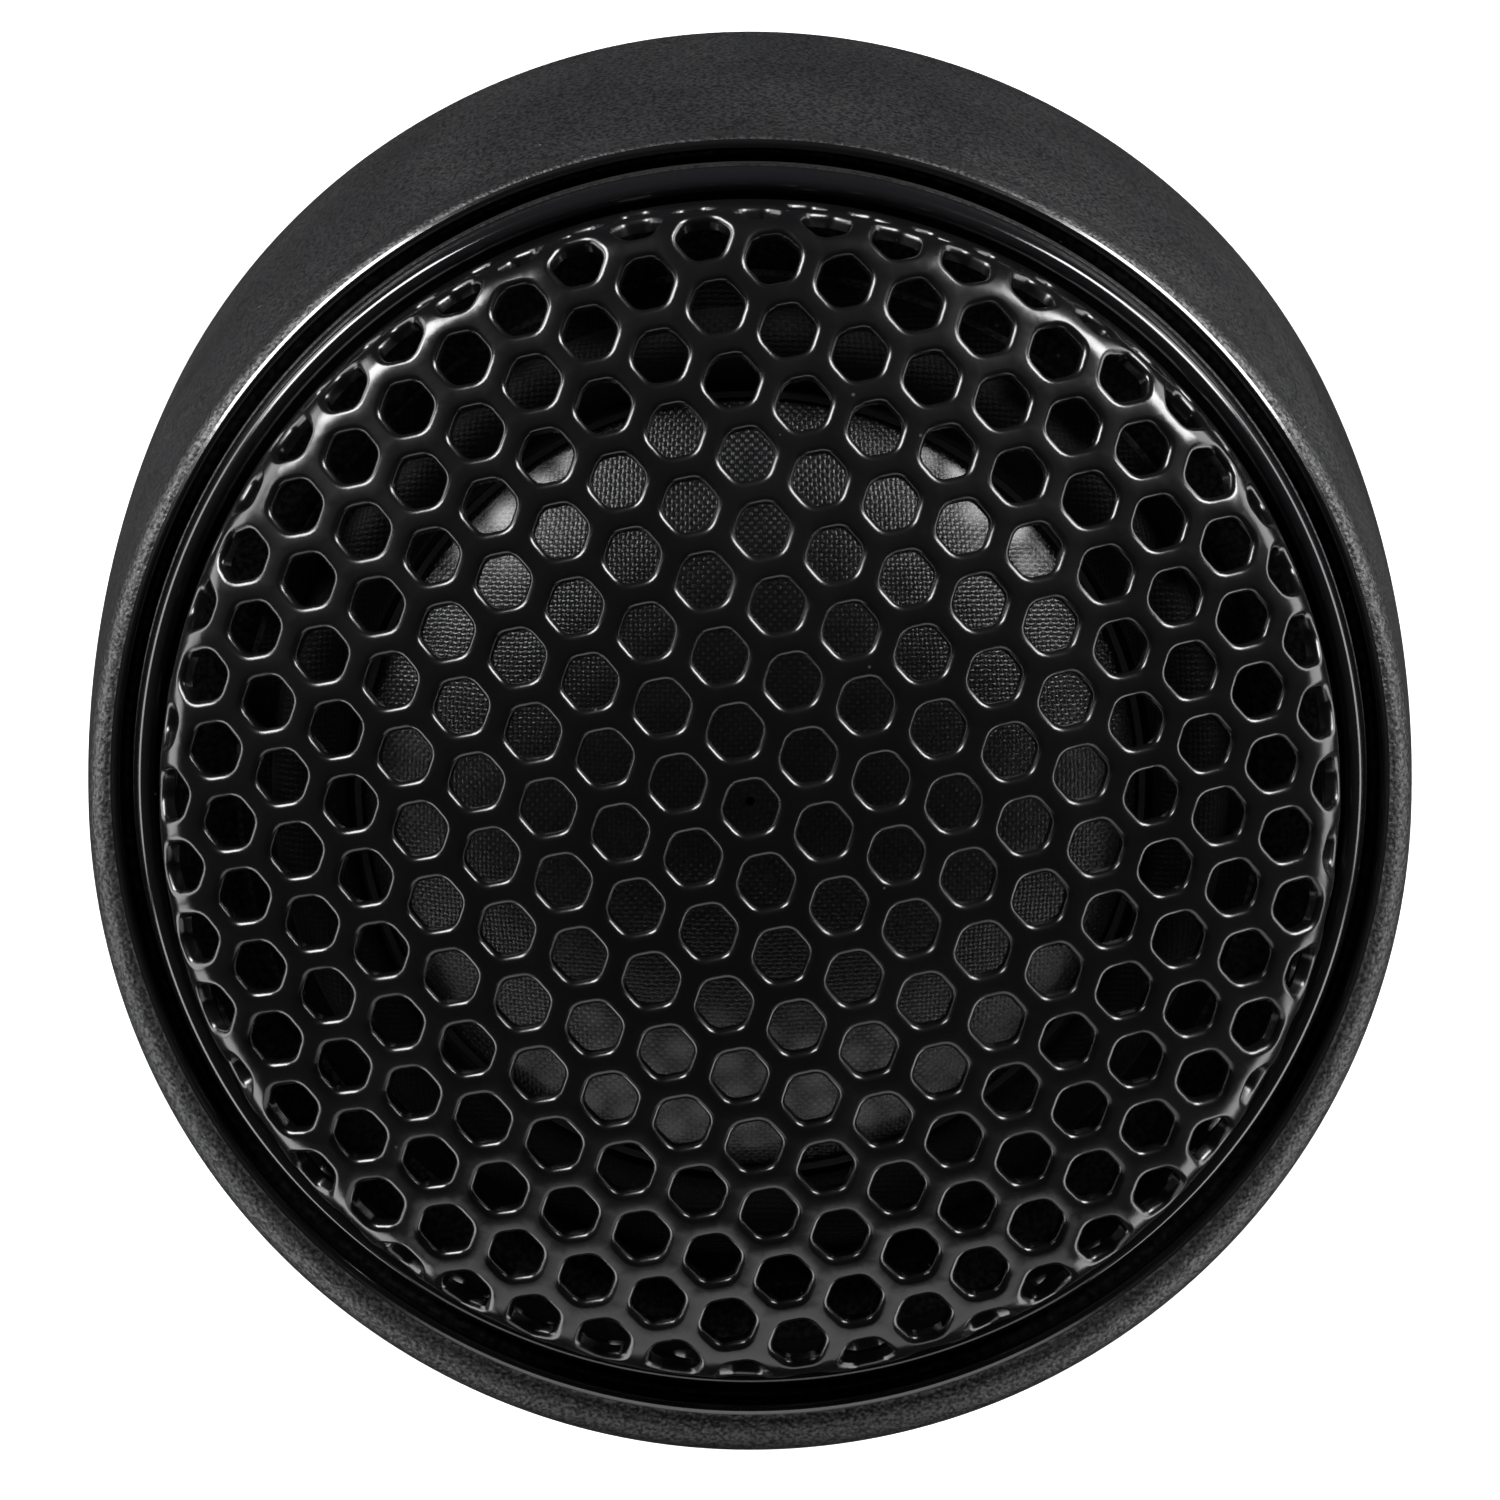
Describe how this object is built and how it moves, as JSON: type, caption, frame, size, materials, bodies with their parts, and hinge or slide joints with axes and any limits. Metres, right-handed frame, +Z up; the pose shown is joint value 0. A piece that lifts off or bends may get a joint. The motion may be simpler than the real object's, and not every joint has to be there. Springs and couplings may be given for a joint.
{
  "type": "dome tweeter pod",
  "caption": "Round silk-dome tweeter behind a domed honeycomb grille, in a ball capsule that swivels in an angled surface-mount pod.",
  "frame": {"origin": "centre of the underside of the base pad, on the pod's twist axis", "axes": "+Z up out of the surface it stands on, -Y the low side that the mouth leans towards, +X to the right"},
  "size_m": [0.0486, 0.0486, 0.0309],
  "materials": {
    "satin_black": "fine satin texture",
    "gloss_black": "gloss",
    "black_steel": "gloss paint",
    "black_moulding": "moulded",
    "foam": "closed-cell foam",
    "rubber": "matt",
    "felt": "felt",
    "silk": "coated weave",
    "plated_steel": "zinc plated",
    "nickel": "nickel plated",
    "copper": "bare copper",
    "aluminium": "foil",
    "board": "laminate board",
    "brass": "tinned brass",
    "wool": "wadding"
  },
  "bodies": {
    "base": {"base_plate": "black_moulding", "base_pad": "foam", "cable_grommet": "rubber"},
    "pod": {"pod_shell": "satin_black", "friction_ring": "rubber", "seat_pad": "felt"},
    "capsule": {"capsule_shell": "gloss_black", "bezel_ring": "gloss_black", "honeycomb_grille": "black_steel", "front_frame": "black_moulding", "capsule_screws": "plated_steel", "yoke": "plated_steel", "magnet": "nickel", "pole_plate": "plated_steel", "copper_cap": "copper", "damping_felt": "felt", "rear_chamber": "black_moulding", "chamber_wool": "wool", "terminal_board": "board", "terminal_tabs": "brass", "lead_wires": "copper"},
    "diaphragm": {"silk_dome": "silk", "surround": "silk", "coil_former": "aluminium", "voice_coil": "copper"}
  },
  "joints": [
    {"name": "pod_twist", "type": "hinge", "parent": "base", "child": "pod", "pos_m": [0, 0, 0.0015], "axis": [0, 0, 1], "range_deg": [0, 40]},
    {"name": "capsule_tilt", "type": "hinge", "parent": "pod", "child": "capsule", "pos_m": [0, 0, 0.02], "axis": [1, 0, 0], "range_deg": [-6, 14]},
    {"name": "dome_travel", "type": "slide", "parent": "capsule", "child": "diaphragm", "axis": [0, -0.0958, 0.9954], "range_m": [-0.0004, 0.0004], "stiffness_N_per_m": 900, "deforming": ["surround"]}
  ]
}
